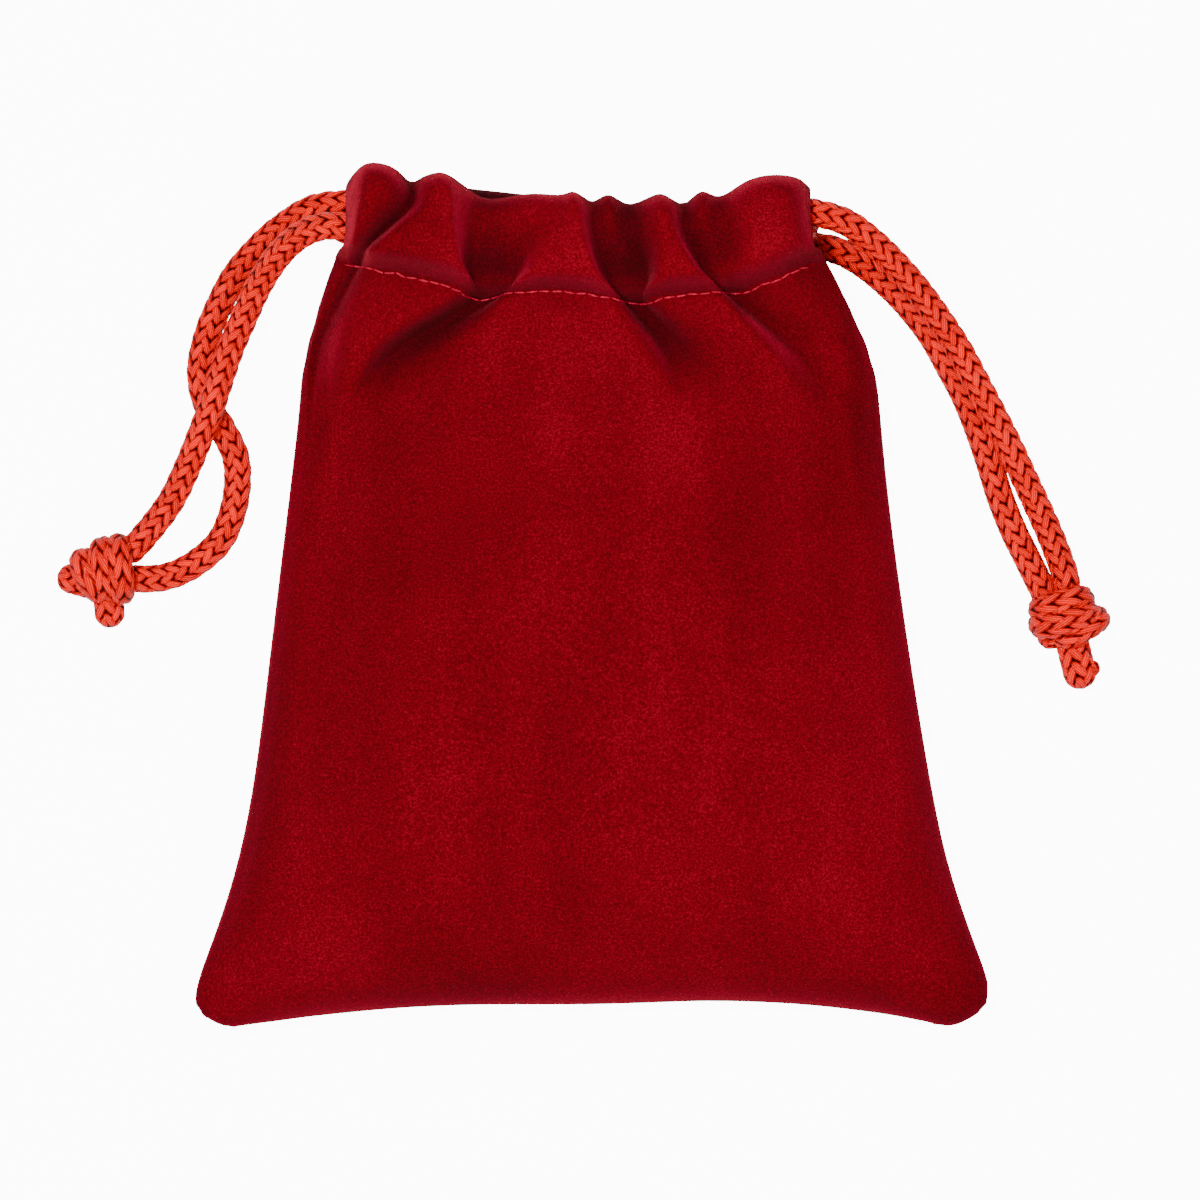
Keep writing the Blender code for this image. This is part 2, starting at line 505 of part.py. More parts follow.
def make_thread(name, panel, thread):
    """The line of stitches that closes the casing, laid in its groove."""
    off = THREAD / 2 + PIECE_GAP + THREAD_LIFT
    upward = normals(panel.points) + (0, 0, 1)
    line = panel.points + off * upward / np.linalg.norm(upward, axis=2, keepdims=True)
    curve = bpy.data.curves.new(name, "CURVE")
    curve.dimensions = "3D"
    curve.bevel_depth = THREAD / 2
    curve.bevel_resolution = 0
    curve.use_fill_caps = True
    spline = curve.splines.new("POLY")
    places = panel.placed(line[panel.stitch_row])[1:-1]
    for _ in range(2):
        spanned = (places[:-2, 2] + places[2:, 2]) / 2
        places[1:-1, 2] = np.where(panel.side > 0, np.maximum(places[1:-1, 2], spanned), places[1:-1, 2])
    spline.points.add(len(places) - 1)
    for point, place in zip(spline.points, places):
        point.co = (*place, 1.0)
    return keep(name, curve, thread)


def make_cord(name, route, orange):
    """A cord as a round tube whose points are read from a smooth curve through its route."""
    places = [plan(x, y) + (z * MM,) for x, y, z in route]
    length = np.linalg.norm(np.diff(places, axis=0), axis=1).sum()
    count = round(length / (CORD_STEP * CORD)) + 1
    curve = bpy.data.curves.new(name, "CURVE")
    curve.dimensions = "3D"
    curve.bevel_depth = CORD_RADIUS
    curve.bevel_resolution = 2
    curve.use_fill_caps = True
    spline = curve.splines.new("POLY")
    spline.points.add(count - 1)
    for point, place in zip(spline.points, evenly(places, np.linspace(0, 1, count))):
        point.co = (*place, 1.0)
    return keep(name, curve, orange)


def helper(name, mesh):
    """A shape that only joins another one, left out of the pouch itself."""
    thing = bpy.data.objects.new(name, mesh)
    bpy.context.scene.collection.objects.link(thing)
    thing.hide_render = True
    thing.display_type = "WIRE"
    return thing


def wrap_mesh(name, centre, turn, radius):
    """One turn of the cord round the knot."""
    around, section = WRAP_STEPS, WRAP_SIDES
    points = []
    for i in range(around):
        swing = 2 * math.pi * i / around
        for j in range(section):
            lean = 2 * math.pi * j / section
            reach = radius + CORD_RADIUS * math.cos(lean)
            points.append(Vector((reach * math.cos(swing), reach * math.sin(swing),
                                  CORD_RADIUS * math.sin(lean))))
    faces = []
    for i in range(around):
        for j in range(section):
            k, m = (i + 1) % around, (j + 1) % section
            faces.append((i * section + j, k * section + j, k * section + m, i * section + m))
    mesh = bpy.data.meshes.new(name)
    mesh.from_pydata([Vector(centre) + turn @ point for point in points], [], faces)
    return mesh


def capsule_mesh(name, start, end, radius):
    """A stretch of cord with rounded ends."""
    shape = bmesh.new()
    bmesh.ops.create_uvsphere(shape, u_segments=12, v_segments=8, radius=radius)
    way = end - start
    for vert in shape.verts:
        if vert.co.z > 0.1 * radius:
            vert.co.z += way.length
    turn = way.to_track_quat("Z", "Y").to_matrix()
    for vert in shape.verts:
        vert.co = start + turn @ vert.co
    mesh = bpy.data.meshes.new(name)
    shape.to_mesh(mesh)
    shape.free()
    return mesh


def make_knot(name, knot, orange):
    """An overhand knot of the two strands: turns of cord round a core, with the cord ends."""
    body = None
    middles = []
    for x, y, radius, about in knot["turns"]:
        middle = Vector(plan(x, y) + (radius * MM + CORD_ON_FLOOR,))
        middles.append(middle)
        turn = Matrix.Rotation(math.radians(about), 3, "Z") @ Matrix.Rotation(math.radians(90), 3, "Y")
        mesh = wrap_mesh(f"{name}_turn", middle, turn, radius * MM)
        if body is None:
            body = keep(name, mesh, orange)
        else:
            fuse(body, helper(f"{name}_turn", mesh))
    cores = [min(knot["turns"][k][2], knot["turns"][k + 1][2]) * MM + CORE_EXTRA for k in range(2)]
    inset = (middles[1] - middles[0]).normalized() * CORE_INSET
    parts = [capsule_mesh(f"{name}_core", middles[0] + inset, middles[1], cores[0]),
             capsule_mesh(f"{name}_core", middles[1], middles[2], cores[1])]
    for start, end, thickness in knot["tails"]:
        ends = [Vector(plan(*place[:2]) + (place[2] * MM,)) for place in (start, end)]
        parts.append(capsule_mesh(f"{name}_tail", ends[0], ends[1], CORD_RADIUS * thickness))
    for mesh in parts:
        fuse(body, helper(mesh.name, mesh))
    body.data.shade_smooth()
    return body


def fuse(body, other):
    joined = body.modifiers.new("Fuse", "BOOLEAN")
    joined.operation = "UNION"
    joined.solver = "EXACT"
    joined.object = other


def main():
    for thing in list(bpy.data.objects):
        bpy.data.objects.remove(thing)
    velvet = material("velvet", VELVET_RED, 0.9)
    thread = material("sewing_thread", THREAD_RED, 0.6)
    front = Panel(FRONT_FOLDS, FOLD_DEPTH, GROOVE_DEPTH, FRONT_MOUTH, 1, 2 * CLOTH,
                  CROWN - FRONT_MOUTH, FRONT_EDGE, FRONT_ROWS, FRONT_BODY_ROWS, FRONT_COLUMN)
    back = Panel(BACK_FOLDS, 1.0, 0.0, BACK_MOUTH, -1, BACK_MOUTH - BACK_STITCH_RISE,
                 BACK_MOUTH, BACK_EDGE, BACK_ROWS, BACK_BODY_ROWS, BACK_COLUMN)
    make_panel("front_panel", front, velvet)
    make_panel("back_panel", back, velvet)
    make_thread("front_casing_thread", front, thread)
    make_thread("back_casing_thread", back, thread)
    orange = material("braided_cord", CORD_ORANGE, 0.35)
    make_cord("left_drawcord", LEFT_ROUTE, orange)
    make_cord("right_drawcord", RIGHT_ROUTE, orange)
    make_knot("left_knot", LEFT_KNOT, orange)
    make_knot("right_knot", RIGHT_KNOT, orange)


main()
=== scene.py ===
import math

import bpy
import numpy as np
from mathutils import Matrix, Vector
from mathutils.bvhtree import BVHTree


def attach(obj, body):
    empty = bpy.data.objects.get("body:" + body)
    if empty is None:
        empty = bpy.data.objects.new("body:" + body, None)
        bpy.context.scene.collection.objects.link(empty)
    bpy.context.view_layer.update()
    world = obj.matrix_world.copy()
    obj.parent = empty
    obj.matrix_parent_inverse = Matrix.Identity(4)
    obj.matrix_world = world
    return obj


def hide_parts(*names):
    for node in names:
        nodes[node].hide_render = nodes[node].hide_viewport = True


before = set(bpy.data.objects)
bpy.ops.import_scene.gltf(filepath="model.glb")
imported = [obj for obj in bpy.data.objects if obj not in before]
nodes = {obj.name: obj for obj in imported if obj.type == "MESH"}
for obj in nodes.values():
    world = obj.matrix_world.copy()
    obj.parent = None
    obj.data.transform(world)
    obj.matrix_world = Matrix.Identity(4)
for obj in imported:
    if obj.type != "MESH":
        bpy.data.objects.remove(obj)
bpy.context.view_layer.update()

mm = 0.001
scene = bpy.context.scene

# camera: straight above, long lens, the square picture is 214.3 mm wide at the pouch
camera = {"lens": 400.0, "sensor": 36.0, "across": 0.2143, "centre": (0.00134, -0.00063, 0.010)}
cameraData = bpy.data.cameras.new("camera")
cameraData.lens = camera["lens"]
cameraData.sensor_width = camera["sensor"]
cameraData.clip_end = 20
cameraAbove = camera["across"] * camera["lens"] / camera["sensor"]
cameraObject = bpy.data.objects.new("camera", cameraData)
cameraObject.location = Vector(camera["centre"]) + Vector((0, 0, cameraAbove))
scene.collection.objects.link(cameraObject)
scene.camera = cameraObject


def addObject(name, mesh, material):
    thing = bpy.data.objects.new(name, mesh)
    scene.collection.objects.link(thing)
    mesh.materials.clear()
    mesh.materials.append(material)
    return thing


def selectOnly(thing):
    bpy.ops.object.select_all(action="DESELECT")
    thing.select_set(True)
    bpy.context.view_layer.objects.active = thing


def newMaterial(name):
    material = bpy.data.materials.new(name)
    material.use_nodes = True
    tree = material.node_tree
    return material, tree, tree.nodes["Principled BSDF"]


def addNode(tree, kind, **settings):
    node = tree.nodes.new(kind)
    for key, value in settings.items():
        if key in node.inputs:
            node.inputs[key].default_value = value
        else:
            setattr(node, key, value)
    return node


def addMath(tree, operation, first, second=None, third=None):
    node = tree.nodes.new("ShaderNodeMath")
    node.operation = operation
    for socket, value in zip(node.inputs, (first, second, third)):
        if value is None:
            continue
        if isinstance(value, (int, float)):
            socket.default_value = value
        else:
            tree.links.new(value, socket)
    return node.outputs[0]


def addRamp(tree, factor, stops):
    ramp = tree.nodes.new("ShaderNodeValToRGB")
    while len(ramp.color_ramp.elements) < len(stops):
        ramp.color_ramp.elements.new(0.5)
    for element, (place, colour) in zip(ramp.color_ramp.elements, stops):
        element.position = place
        element.color = (*colour, 1)
    tree.links.new(factor, ramp.inputs[0])
    return ramp.outputs[0]


def addRange(tree, value, low, high, toLow, toHigh, kind="LINEAR"):
    node = addNode(tree, "ShaderNodeMapRange", clamp=True, interpolation_type=kind)
    tree.links.new(value, node.inputs["Value"])
    for socket, limit in (("From Min", low), ("From Max", high), ("To Min", toLow), ("To Max", toHigh)):
        node.inputs[socket].default_value = limit
    return node.outputs[0]


def readAttribute(tree, name, output="Fac"):
    return addNode(tree, "ShaderNodeAttribute", attribute_name=name).outputs[output]


def addShade(tree, colour, tone):
    # the colour made darker or lighter by a value
    grey = tree.nodes.new("ShaderNodeCombineColor")
    for socket in grey.inputs[:3]:
        tree.links.new(tone, socket)
    shade = addNode(tree, "ShaderNodeMix", data_type="RGBA", blend_type="MULTIPLY")
    shade.inputs[0].default_value = 1.0
    tree.links.new(colour, shade.inputs[6])
    tree.links.new(grey.outputs[0], shade.inputs[7])
    return shade.outputs[2]


def addBump(tree, shader, height, strength, distance):
    bump = addNode(tree, "ShaderNodeBump", Strength=strength, Distance=distance)
    tree.links.new(height, bump.inputs["Height"])
    tree.links.new(bump.outputs[0], shader.inputs["Normal"])


def makeCordMaterial():
    look = {
        "gapShade": (0.004, 0.0001, 0.0001), "deep": (0.062, 0.0002, 0.0001), "plait": (0.82, 0.0006, 0.0001),
        "crest": (0.95, 0.0050, 0.0003), "roughness": 0.34, "filaments": 3.6,
        "lowestTone": 0.50, "plaitTone": 0.28, "filamentHighlightTone": 0.62, "bump": (0.9, 0.00018),
        "specular": 0.09, "specularTint": (1.0, 0.40, 0.15),
    }
    material, tree, shader = newMaterial("braidedCord")
    lift = readAttribute(tree, "lift")
    plait = readAttribute(tree, "plait")
    strand = readAttribute(tree, "strand", "Vector")
    split = tree.nodes.new("ShaderNodeSeparateXYZ")
    tree.links.new(strand, split.inputs[0])
    # filaments run along each plait, a little uneven
    wobble = addNode(tree, "ShaderNodeTexNoise", Scale=0.9, Detail=2.0)
    tree.links.new(strand, wobble.inputs["Vector"])
    across = addMath(tree, "ADD", split.outputs[0], addMath(tree, "MULTIPLY", wobble.outputs["Fac"], 0.35))
    wave = addMath(tree, "SINE", addMath(tree, "MULTIPLY", across, look["filaments"] * 2 * math.pi / 1.4))
    thread = addMath(tree, "MULTIPLY_ADD", wave, 0.5, 0.5)
    # painted shade darkens the gaps between the plaits and a painted highlight lightens their crests, following
    # the height of the braid
    colour = addRamp(tree, lift, [(0.0, look["gapShade"]), (0.50, look["deep"]), (0.78, look["plait"]),
                                  (1.0, look["crest"])])
    # each plait has a tone of its own, and a painted highlight lightens the tops of its filaments
    tone = addMath(tree, "ADD", addMath(tree, "MULTIPLY_ADD", plait, look["plaitTone"], look["lowestTone"]),
                   addMath(tree, "MULTIPLY", addMath(tree, "POWER", thread, 3.0), look["filamentHighlightTone"]))
    tree.links.new(addShade(tree, colour, tone), shader.inputs["Base Color"])
    rough = addMath(tree, "MULTIPLY_ADD", thread, -0.10, look["roughness"])
    tree.links.new(rough, shader.inputs["Roughness"])
    addBump(tree, shader, thread, *look["bump"])
    shader.inputs["Specular IOR Level"].default_value = look["specular"]
    shader.inputs["Specular Tint"].default_value = (*look["specularTint"], 1)
    return material


def makeVelvetMaterial():
    look = {
        "deep": (0.041, 0.0002, 0.0015), "base": (0.088, 0.0005, 0.0033), "light": (0.184, 0.0012, 0.0082),
        "rim": (0.42, 0.0020, 0.0230), "sheen": (1.0, 0.060, 0.12), "pile": 2600.0, "streak": 90.0,
        "lean": 26.0, "shares": (0.19, 0.09, 0.72), "hollowShadeTone": 0.30, "crestTone": 0.10,
        "rimFrom": 0.24, "rimFull": 0.88, "rimMost": 0.52, "bump": (0.8, 0.00025), "sheenWeight": 0.50,
    }
    material, tree, shader = newMaterial("velvetCloth")
    place = tree.nodes.new("ShaderNodeTexCoord").outputs["Object"]
    # broad patches where the pile leans another way
    lean = addNode(tree, "ShaderNodeTexNoise", Scale=look["lean"], Detail=2.0, Roughness=0.5)
    tree.links.new(place, lean.inputs["Vector"])
    turned = addNode(tree, "ShaderNodeMapping")
    turned.inputs["Rotation"].default_value = (0, 0, math.radians(38))
    turned.inputs["Scale"].default_value = (1, 0.16, 1)
    tree.links.new(place, turned.inputs["Vector"])
    streak = addNode(tree, "ShaderNodeTexNoise", Scale=look["streak"], Detail=2.0)
    tree.links.new(turned.outputs[0], streak.inputs["Vector"])
    pile = addNode(tree, "ShaderNodeTexNoise", Scale=look["pile"], Detail=3.0, Roughness=0.75)
    tree.links.new(place, pile.inputs["Vector"])
    parts = [addMath(tree, "MULTIPLY", noise.outputs["Fac"], share)
             for noise, share in zip((lean, streak, pile), look["shares"])]
    mixed = addMath(tree, "ADD", parts[0], addMath(tree, "ADD", parts[1], parts[2]))
    colour = addRamp(tree, mixed, [(0.35, look["deep"]), (0.50, look["base"]), (0.66, look["light"])])
    # painted shade darkens the hollows between folds and a painted highlight lightens the crests a little
    level = addRange(tree, readAttribute(tree, "hollowShade"), 0.0, 1.0, 1.0, look["hollowShadeTone"])
    crest = addMath(tree, "MULTIPLY_ADD", readAttribute(tree, "crest"), look["crestTone"], 1.0)
    shade = addShade(tree, colour, addMath(tree, "MULTIPLY", level, crest))
    # pile seen from its side catches the light, so steep cloth and edges have a pink rim,
    # except in the band above the stitches
    facing = addNode(tree, "ShaderNodeLayerWeight", Blend=0.5).outputs["Facing"]
    steep = addRange(tree, facing, look["rimFrom"], look["rimFull"], 0.0, look["rimMost"], "SMOOTHSTEP")
    amount = addMath(tree, "MULTIPLY", addMath(tree, "MULTIPLY", steep, level),
                     addMath(tree, "SUBTRACT", 1.0, readAttribute(tree, "band")))
    rim = addNode(tree, "ShaderNodeMix", data_type="RGBA")
    tree.links.new(amount, rim.inputs[0])
    tree.links.new(shade, rim.inputs[6])
    rim.inputs[7].default_value = (*look["rim"], 1)
    tree.links.new(rim.outputs[2], shader.inputs["Base Color"])
    addBump(tree, shader, pile.outputs["Fac"], *look["bump"])
    shader.inputs["Roughness"].default_value = 0.95
    shader.inputs["Specular IOR Level"].default_value = 0.04
    sheen = addMath(tree, "MULTIPLY", addMath(tree, "MULTIPLY", level, pile.outputs["Fac"]), look["sheenWeight"])
    tree.links.new(sheen, shader.inputs["Sheen Weight"])
    shader.inputs["Sheen Roughness"].default_value = 0.32
    shader.inputs["Sheen Tint"].default_value = (*look["sheen"], 1)
    return material


def makeThreadMaterial():
    material, tree, shader = newMaterial("sewingThread")
    place = addNode(tree, "ShaderNodeTexCoord").outputs["Object"]
    twist = addNode(tree, "ShaderNodeTexNoise", Scale=2400.0, Detail=1.0)
    tree.links.new(place, twist.inputs["Vector"])
    colour = addRamp(tree, twist.outputs["Fac"], [(0.3, (0.17, 0.001, 0.008)), (0.7, (0.42, 0.006, 0.028))])
    tree.links.new(colour, shader.inputs["Base Color"])
    addBump(tree, shader, twist.outputs["Fac"], 0.5, 0.0001)
    shader.inputs["Roughness"].default_value = 0.6
    shader.inputs["Specular IOR Level"].default_value = 0.10
    return material


cordMaterial = makeCordMaterial()
velvetMaterial = makeVelvetMaterial()
threadMaterial = makeThreadMaterial()


def lineLength(line):
    # how far along the line each of its points lies
    return np.concatenate([[0], np.cumsum(np.linalg.norm(np.diff(line, axis=0), axis=1))])


def smoothLine(points, step):
    # evenly spaced points on a smooth curve through the given ones
    points = np.asarray(points, float)
    padded = np.vstack([2 * points[0] - points[1], points, 2 * points[-1] - points[-2]])
    fine = []
    for start in range(len(points) - 1):
        a, b, c, d = padded[start:start + 4]
        for t in np.linspace(0, 1, 40, endpoint=False):
            fine.append(0.5 * (2 * b + (c - a) * t + (2 * a - 5 * b + 4 * c - d) * t ** 2
                               + (3 * b - a - 3 * c + d) * t ** 3))
    fine = np.array(fine + [points[-1]])
    run = lineLength(fine)
    count = max(8, int(round(run[-1] / step)) + 1)
    return np.stack([np.interp(np.linspace(0, run[-1], count), run, fine[:, k]) for k in range(3)], axis=1)


def framesAlong(line):
    # directions across the line that don't spin about it
    along = np.gradient(line, axis=0)
    along /= np.linalg.norm(along, axis=1, keepdims=True)
    first = np.cross(along[0], (0.0, 0.0, 1.0))
    if np.linalg.norm(first) < 0.1:
        first = np.cross(along[0], (1.0, 0.0, 0.0))
    side = [first / np.linalg.norm(first)]
    for here in along[1:]:
        moved = side[-1] - here * np.dot(side[-1], here)
        side.append(moved / np.linalg.norm(moved))
    side = np.array(side)
    return along, side, np.cross(along, side)


# the braid of the cords in mm: columns of leaning plaits round a core
braid = {
    "columns": 10, "pitch": 2.9, "lean": 31.0, "halfWide": 0.92, "halfLong": 2.10,
    "core": 1.88, "relief": 0.66, "around": 60, "step": 0.30, "radius": 2.5,
}


def braidRelief(run, turn, wide):
    # height, plait number and place along the plait at each point; run and wide in mm, turn in columns
    best = np.zeros(run.shape)
    plait = np.zeros(run.shape)
    across = np.zeros(run.shape)
    along = np.zeros(run.shape)
    lean = math.radians(braid["lean"])
    column = np.floor(turn).astype(int)
    for beside in (-1, 0, 1):
        number = column + beside
        sign = np.where(number % 2 == 0, 1.0, -1.0)
        shift = np.where(number % 2 == 0, 0.0, 0.5) + 0.25 * ((number // 2) % 2)
        row = np.floor(run / braid["pitch"] - shift)
        for ahead in (-1, 0, 1, 2):
            x = (turn - number - 0.5) * wide
            y = run - (row + ahead + shift) * braid["pitch"]
            far = y * math.cos(lean) + sign * x * math.sin(lean)
            off = x * math.cos(lean) - sign * y * math.sin(lean)
            dome = 1 - np.abs(off / braid["halfWide"]) ** 2.2 - np.abs(far / braid["halfLong"]) ** 2.6
            height = np.sqrt(np.clip(dome, 0, 1)) * (1 + 0.16 * far / braid["halfLong"])
            better = height > best
            best = np.where(better, height, best)
            mark = (np.sin(12.9898 * (number % braid["columns"]) + 78.233 * (row + ahead)) * 43758.5453) % 1.0
            plait = np.where(better, mark, plait)
            across = np.where(better, off, across)
            along = np.where(better, far, along)
    return best, plait, across, along


def braidedTubes(name, tubes):
    # each tube is a line of points in metres and the share of the cord's radius along it
    verts, faces, lifts, plaits, strands = [], [], [], [], []
    for line, share in tubes:
        count, around = len(line), braid["around"]
        run = lineLength(line) / mm
        _, side, up = framesAlong(line)
        swing = 2 * math.pi * np.arange(around) / around
        turn = np.broadcast_to(swing / (2 * math.pi) * braid["columns"], (count, around))
        wide = 2 * math.pi * braid["radius"] / braid["columns"]
        height, plait, across, along = braidRelief(np.repeat(run[:, None], around, 1), turn, wide)
        reach = (braid["core"] + braid["relief"] * height) * mm * share[:, None]
        start = len(verts)
        ring = line[:, None] + reach[..., None] * (np.cos(swing)[None, :, None] * side[:, None]
                                                   + np.sin(swing)[None, :, None] * up[:, None])
        verts += ring.reshape(-1, 3).tolist()
        lifts += height.ravel().tolist()
        plaits += plait.ravel().tolist()
        strands += np.stack([across, along, plait * 7], axis=-1).reshape(-1, 3).tolist()
        for i in range(count - 1):
            for j in range(around):
                k = (j + 1) % around
                faces.append((start + i * around + j, start + i * around + k,
                              start + (i + 1) * around + k, start + (i + 1) * around + j))
        for end, row in ((0, 0), (1, count - 1)):
            pole = len(verts)
            verts.append(line[row].tolist())
            lifts.append(0.3)
            plaits.append(0.5)
            strands.append([0, 0, 0])
            for j in range(around):
                k = (j + 1) % around
                a, b = start + row * around + j, start + row * around + k
                faces.append((pole, b, a) if end == 0 else (pole, a, b))
    mesh = bpy.data.meshes.new(name)
    mesh.from_pydata(verts, [], faces)
    for title, kind, values in (("lift", "FLOAT", lifts), ("plait", "FLOAT", plaits)):
        mesh.attributes.new(title, kind, "POINT").data.foreach_set("value", values)
    mesh.attributes.new("strand", "FLOAT_VECTOR", "POINT").data.foreach_set("vector", np.ravel(strands))
    mesh.shade_smooth()
    return addObject(name, mesh, cordMaterial)


def roundedEnds(line, first, last, full=1.0):
    # radius share along a stretch of cord whose marked ends are rounded off
    run = lineLength(line) / mm
    radius = braid["radius"] * full
    share = np.full(len(line), full)
    for on, distance in ((first, run), (last, run[-1] - run)):
        if on:
            near = np.clip(distance / radius, 0, 1)
            share = np.minimum(share, full * np.sqrt(np.clip(1 - (1 - near) ** 2, 0.0, 1)))
    return np.clip(share, 0.05, None)


# routes of the cords in mm, as the part has them: knot, back casing, far opening, front casing, knot
leftCord = {
    "route": [
        (-80.6, 3.1, 4.5), (-76, 3.6, 3), (-71.3, 5.8, 2.6), (-66.9, 9.7, 2.6), (-64.6, 14.6, 2.6),
        (-63.6, 20, 2.6), (-64, 25.3, 2.6), (-66.6, 30.6, 2.6), (-69.3, 35, 2.6), (-70.2, 40.6, 2.6),
        (-69, 46.7, 2.6), (-66.7, 52.4, 2.6), (-63.9, 57.6, 2.6), (-60, 62.2, 3), (-56, 65.8, 3.9),
        (-50.3, 69.3, 5.7), (-44.2, 70.2, 7.1), (-38, 69.6, 7.1), (-30, 68.7, 7.1), (-15, 66.1, 7.1),
        (0, 65.1, 7.1), (15, 65.6, 7.1), (25, 67.3, 7.1), (31.5, 68.9, 7.6), (36.2, 68.2, 10.4),
        (37.9, 66.1, 14.45), (36.2, 63.9, 18.5), (31.5, 62.9, 21.3), (25, 61.2, 21.8), (14, 59.7, 21.8),
        (0, 59.8, 21.8), (-15, 60.3, 21.8), (-28, 62.3, 21.8), (-37, 63.7, 21.8), (-42, 64.5, 21.2),
        (-46, 65.9, 20.2), (-50.2, 65.2, 18.1), (-54, 62.8, 15.4), (-57.2, 59.2, 12.9), (-60, 54.6, 10.7),
        (-62.3, 49.6, 9.2), (-64.5, 44.6, 8.4), (-66.3, 39.4, 8.1), (-68, 34.2, 8.1), (-70.2, 28.5, 7.4),
        (-72.6, 22.8, 5.7), (-75.8, 16.5, 4.4), (-81.2, 9.6, 5.5),
    ],
    "into": ((-84.2, 3.6, 5.6), (-84.2, 7.0, 6.3)), "length": 0.339,
}
rightCord = {
    "route": [
        (80.7, 1.1, 4.3), (77.6, 7.4, 2.9), (75.3, 12.1, 2.6), (73, 17.9, 2.6), (71.2, 23.7, 2.6),
        (69.2, 29.6, 2.6), (66.7, 35.8, 2.6), (64, 40.9, 2.6), (61, 46.3, 2.6), (57.6, 50.9, 2.7),
        (53.6, 55.2, 3.3), (48.8, 59.2, 4.6), (44, 61.8, 6), (39, 62.7, 6.9), (31, 63, 7.1), (15, 60.1, 7.1),
        (0, 59.5, 7.1), (-15, 60.2, 7.1), (-28, 62.2, 7.1), (-35.5, 63.3, 7.6), (-40, 64.3, 10.4),
        (-41.7, 66.6, 14.45), (-40, 68.9, 18.5), (-35.5, 69.5, 21.3), (-28, 68.2, 21.8), (-15, 66, 21.8),
        (0, 65.5, 21.8), (13, 65.3, 21.8), (20, 65.9, 21.8), (26, 67.6, 21.8), (32.5, 68.7, 21.8),
        (39, 68.3, 20.9), (44.9, 66.7, 19.3), (49.6, 63.5, 16.8), (54, 59.4, 13.9), (58, 54.9, 11.3),
        (61.8, 49.8, 9.3), (65.5, 44.2, 8.1), (68.6, 38.5, 7.5), (71.7, 32.6, 7.1), (74.6, 26.9, 6.5),
        (77.4, 21, 5.2), (80.1, 15.3, 4), (82.3, 10.2, 4.6), (84.6, 3.6, 6.7),
    ],
    "into": ((82.4, -1.8, 5.6), (84.8, 0.2, 7.3)), "length": 0.334,
}


def makeCord(name, cord):
    route = [cord["into"][0]] + cord["route"] + [cord["into"][1]]
    line = smoothLine(np.array(route) * mm, braid["step"] * mm)
    thing = braidedTubes(name, [(line, roundedEnds(line, True, True))])
    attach(thing, "root")
    return thing, line


leftStrand, leftLine = makeCord("leftCord", leftCord)
rightStrand, rightLine = makeCord("rightCord", rightCord)
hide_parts("left_drawcord")
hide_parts("right_drawcord")
print("cords made:", len(leftStrand.data.polygons), len(rightStrand.data.polygons))


# knots as the part has them, in mm: turns as middle, radius and heading, then the cut ends
leftKnot = {
    "turns": [(-84.4, 4.8, 4.1, 6), (-87.2, 4.9, 3.5, 13), (-90.1, 3.6, 2.8, 33)],
    "tails": [((-90.0, 2.3, 3.1), (-93.2, 3.2, 3.1), 1.1), ((-86.9, 1.0, 4.0), (-86.5, -2.9, 3.1), 1.1)],
}
rightKnot = {
    "turns": [(83.8, -1.2, 3.7, 108), (84.3, -4.4, 4.1, 106), (87.9, -5.6, 2.8, 124)],
    "tails": [((85.8, -8.0, 3.5), (87.2, -13.6, 3.4), 1.22), ((82.8, -6.0, 4.0), (82.0, -7.0, 3.6), 1.0),
              ((88.0, -12.4, 3.4), (89.4, -12.9, 3.4), 0.62)],
}


knotting = {"steps": 18, "height": 2.6, "core": 1.3}


def lineOf(points):
    return smoothLine(np.array([tuple(point) for point in points]) * mm, braid["step"] * mm)


def makeKnot(name, knot):
    middles = [Vector((x, y, radius + knotting["height"])) for x, y, radius, about in knot["turns"]]
    winding = []
    for i in range(knotting["steps"] * len(middles) + 1):
        place = min(max(i / knotting["steps"] - 0.5, 0), 1.999)
        turn = int(place)
        share = (place - turn) ** 2 * (3 - 2 * (place - turn))
        middle = middles[turn].lerp(middles[turn + 1], share)
        radius, about = [knot["turns"][turn][k] * (1 - share) + knot["turns"][turn + 1][k] * share for k in (2, 3)]
        swing = 2 * math.pi * (i / knotting["steps"] - 0.25)
        across = Vector((-math.sin(math.radians(about)), math.cos(math.radians(about)), 0))
        winding.append(middle + radius * (math.cos(swing) * across + math.sin(swing) * Vector((0, 0, 1))))
    line = lineOf(winding)
    tubes = [(line, roundedEnds(line, True, True))]
    core = [middles[0].lerp(middles[1], 0.5), middles[1], middles[1].lerp(middles[2], 0.6)]
    line = lineOf(core)
    tubes.append((line, roundedEnds(line, True, True, knotting["core"])))
    for start, end, thickness in knot["tails"]:
        way = (Vector(end) - Vector(start)).normalized() * braid["radius"] * thickness
        line = lineOf([Vector(start), (Vector(start) + Vector(end)) / 2, Vector(end), Vector(end) + way])
        tubes.append((line, roundedEnds(line, False, True, thickness)))
    thing = braidedTubes(name, tubes)
    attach(thing, "root")
    return thing


leftBunch = makeKnot("leftKnot", leftKnot)
rightBunch = makeKnot("rightKnot", rightKnot)
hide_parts("left_knot")
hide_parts("right_knot")
print("knots made")


